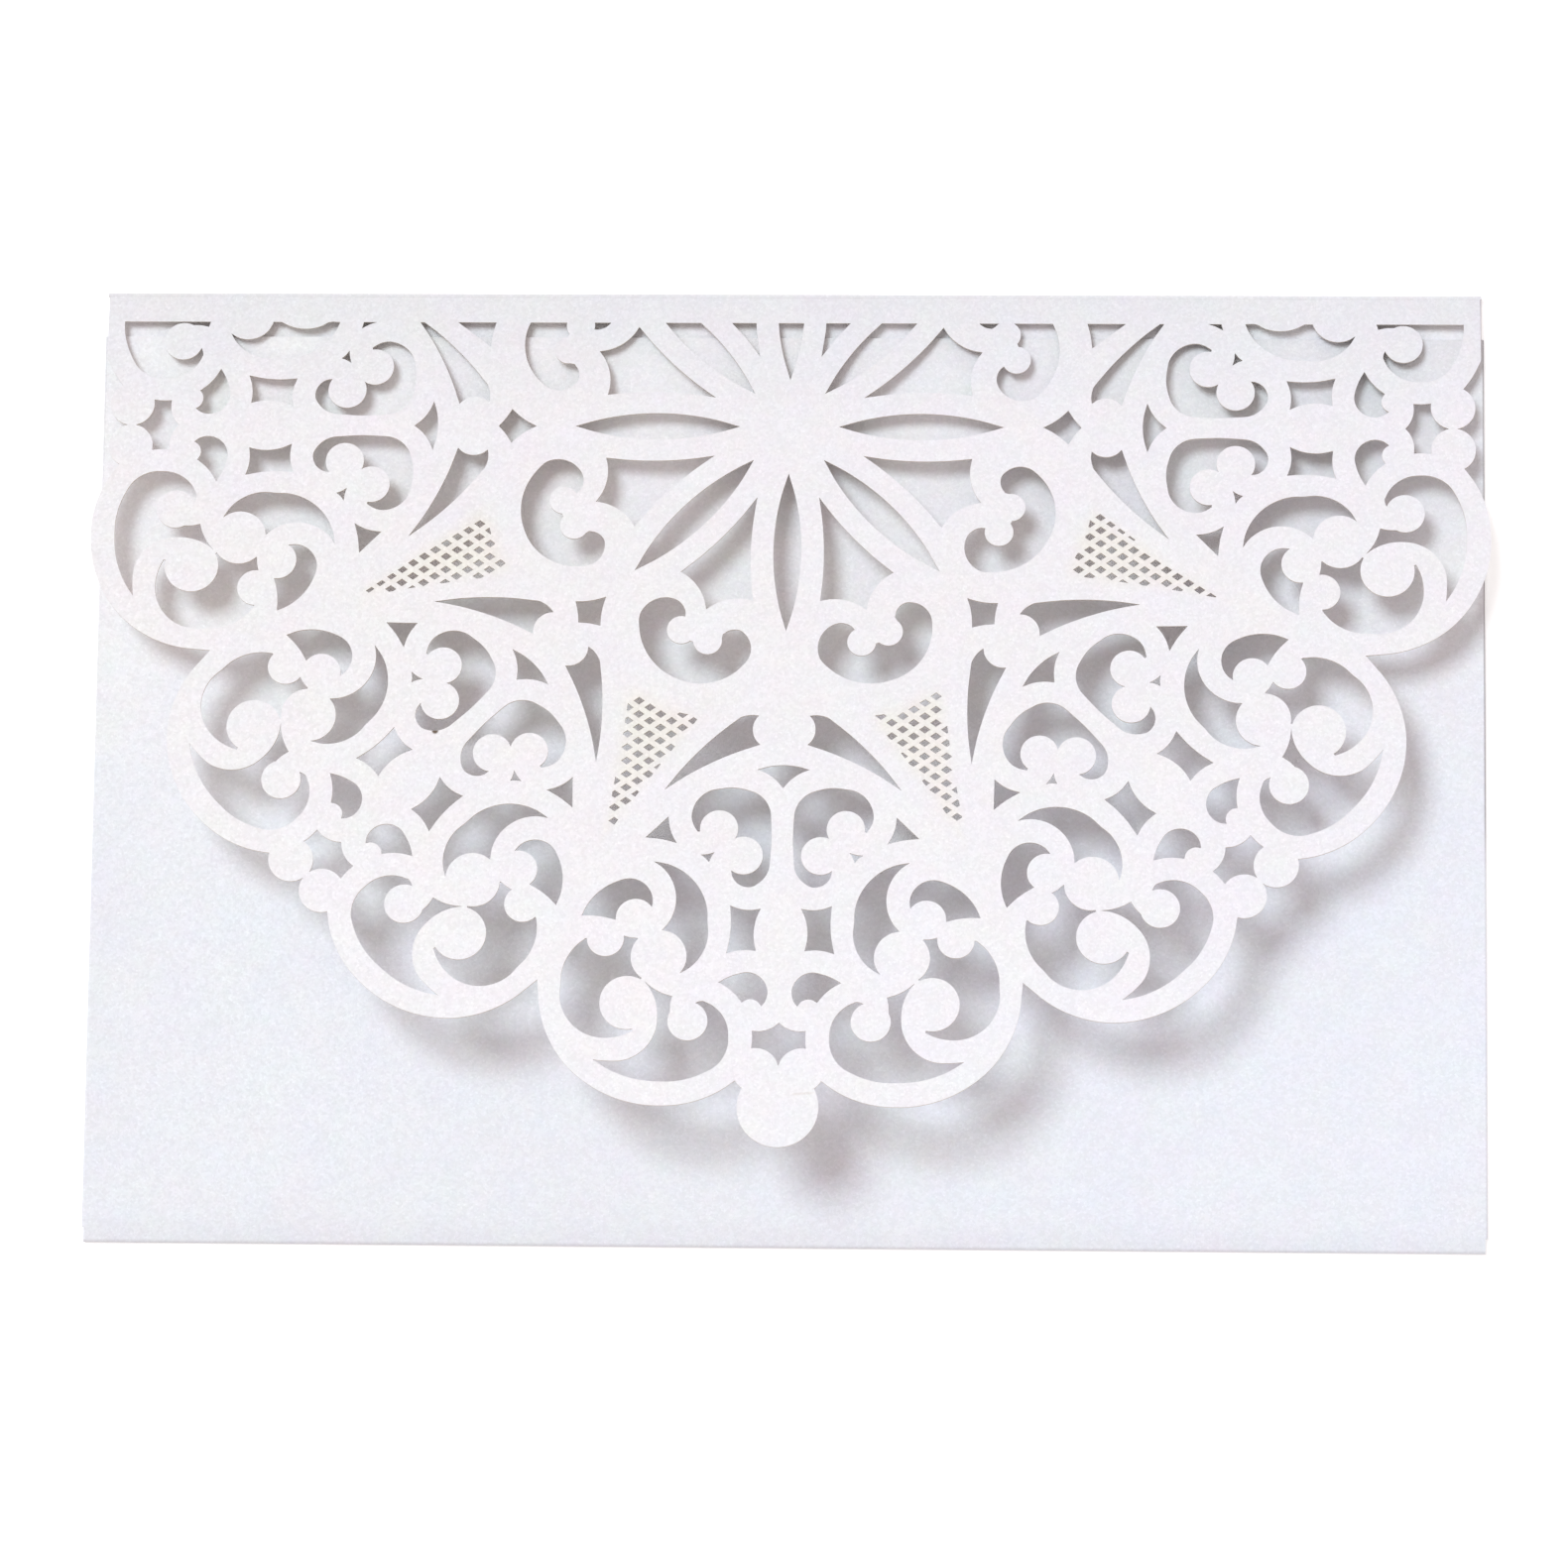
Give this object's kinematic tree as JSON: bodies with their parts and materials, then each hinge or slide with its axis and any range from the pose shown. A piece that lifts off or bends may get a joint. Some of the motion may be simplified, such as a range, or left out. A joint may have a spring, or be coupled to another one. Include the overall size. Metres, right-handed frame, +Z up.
{
  "type": "wedding invitation",
  "caption": "Pearl-white card folded into a flat pocket, with a lace-cut half-rosette flap that folds over its front from the top edge and stands slightly open.",
  "frame": {"origin": "centre of the folded card's outline, on the surface it lies on", "axes": "+X along the creases, +Y from the bottom crease to the flap crease, +Z up out of the card's front"},
  "size_m": [0.186, 0.128, 0.0176],
  "materials": {
    "pearl_card": "pearl white card with a fine shimmer"
  },
  "bodies": {
    "root": {"lace_pocket": "pearl_card"}
  },
  "joints": []
}
